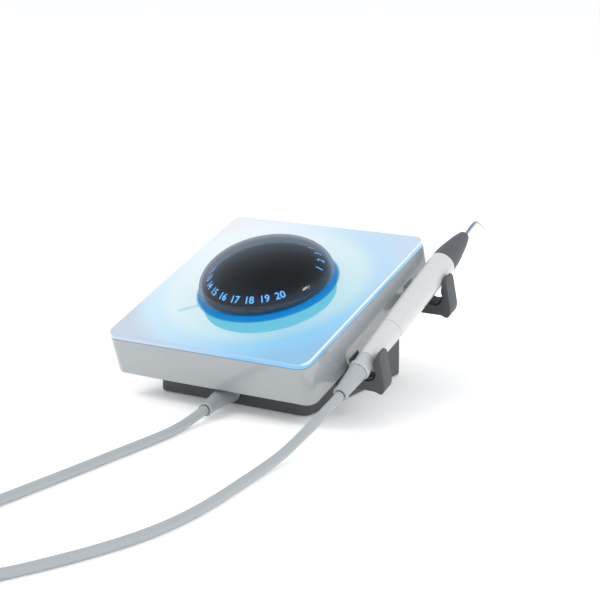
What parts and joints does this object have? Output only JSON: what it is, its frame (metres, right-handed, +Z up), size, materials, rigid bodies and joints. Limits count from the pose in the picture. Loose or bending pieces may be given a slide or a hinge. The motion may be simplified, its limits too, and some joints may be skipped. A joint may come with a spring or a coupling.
{
  "type": "ultrasonic scaler",
  "caption": "Table-top ultrasonic dental scaler: tilted lit control plate with a domed dial on a dark base, corded handpiece with curved tip in side cradles.",
  "frame": {"origin": "centre of the base's underside", "axes": "+Z up; +Y towards the raised rear edge with the mains inlet; the low front edge faces -Y and the handpiece lies along the +X side, so +X is the user's right"},
  "size_m": [0.2136, 0.6449, 0.1217],
  "materials": {
    "case_grey": "satin moulded plastic, faintly textured",
    "plate_white": "polished translucent acrylic, lit blue from below",
    "dark_grey": "fine-grained moulded plastic",
    "cradle_grey": "fine-grained moulded plastic",
    "smoked_clear": "polished smoked clear acrylic",
    "knob_black": "black with blue lit numerals",
    "lit_blue": "blue lit diffuser",
    "rubber_black": "matt",
    "steel": "machined and polished",
    "brass": "turned",
    "aluminium": "extruded, bare",
    "circuit_board": "glass-fibre laminate with solder mask",
    "diffuser_white": "milky translucent",
    "handpiece_white": "satin autoclavable plastic",
    "cone_grey": "matt soft-touch plastic",
    "cord_grey": "smooth silicone",
    "ceramic": "fired piezo-ceramic",
    "black_plastic": "satin",
    "copper": "varnished windings"
  },
  "bodies": {
    "console": {"base_shell": "dark_grey", "base_cover": "dark_grey", "casing_tray": "case_grey", "top_plate": "plate_white", "light_guide": "diffuser_white", "lamp_board": "circuit_board", "control_board": "circuit_board", "generator_board": "circuit_board", "knob_encoder": "black_plastic", "knob_bush": "brass", "knob_light_ring": "lit_blue", "power_transformer": "copper", "heat_sink": "aluminium", "solenoid_valve": "brass", "water_regulator": "brass", "water_inlet": "brass", "inlet_hose": "diffuser_white", "outlet_hose": "diffuser_white", "mains_inlet": "black_plastic", "switch_frame": "black_plastic", "pedal_socket": "black_plastic", "flow_bush": "brass", "cord_bush": "cord_grey", "cord_boot_front": "cord_grey", "cord_front": "cord_grey", "cord_coil": "cord_grey", "cord_hand": "cord_grey", "cradle_front": "cradle_grey", "cradle_rear": "cradle_grey", "cradle_front_screw": "steel", "cradle_rear_screw": "steel", "saddle_front": "cradle_grey", "saddle_rear": "cradle_grey", "foot_front_left": "rubber_black", "base_screw_front_left": "steel", "foot_front_right": "rubber_black", "base_screw_front_right": "steel", "foot_rear_left": "rubber_black", "base_screw_rear_left": "steel", "foot_rear_right": "rubber_black", "base_screw_rear_right": "steel"},
    "knob": {"knob_cover": "smoked_clear", "knob_core": "knob_black"},
    "power_rocker": {"power_switch": "black_plastic"},
    "water_knob": {"flow_knob": "black_plastic"},
    "handpiece": {"front_barrel": "handpiece_white", "rear_barrel": "handpiece_white", "nose_cone": "cone_grey", "lamp_ring": "diffuser_white", "transducer_horn": "steel", "piezo_ring_1": "ceramic", "piezo_ring_2": "ceramic", "piezo_ring_3": "ceramic", "piezo_ring_4": "ceramic", "counter_mass": "steel", "rear_connector": "black_plastic", "hand_collar": "cord_grey", "cord_boot_rear": "cord_grey", "scaling_tip": "steel"}
  },
  "joints": [
    {"name": "knob_turn", "type": "hinge", "parent": "console", "child": "knob", "pos_m": [0, -0.01936, 0.07838], "axis": [0, -0.3358, 0.9419], "range_deg": [-94.7, 205.3]},
    {"name": "power_rocker_tilt", "type": "hinge", "parent": "console", "child": "power_rocker", "pos_m": [-0.01, 0.07075, 0.022], "axis": [1, 0, 0], "range_deg": [-16, 0]},
    {"name": "water_knob_turn", "type": "hinge", "parent": "console", "child": "water_knob", "pos_m": [0.04, 0.07275, 0.048], "axis": [0, 1, 0], "range_deg": [-135, 135]},
    {"name": "handpiece_lift", "type": "slide", "parent": "console", "child": "handpiece", "axis": [0, -0.3358, 0.9419], "range_m": [0, 0.05]}
  ]
}
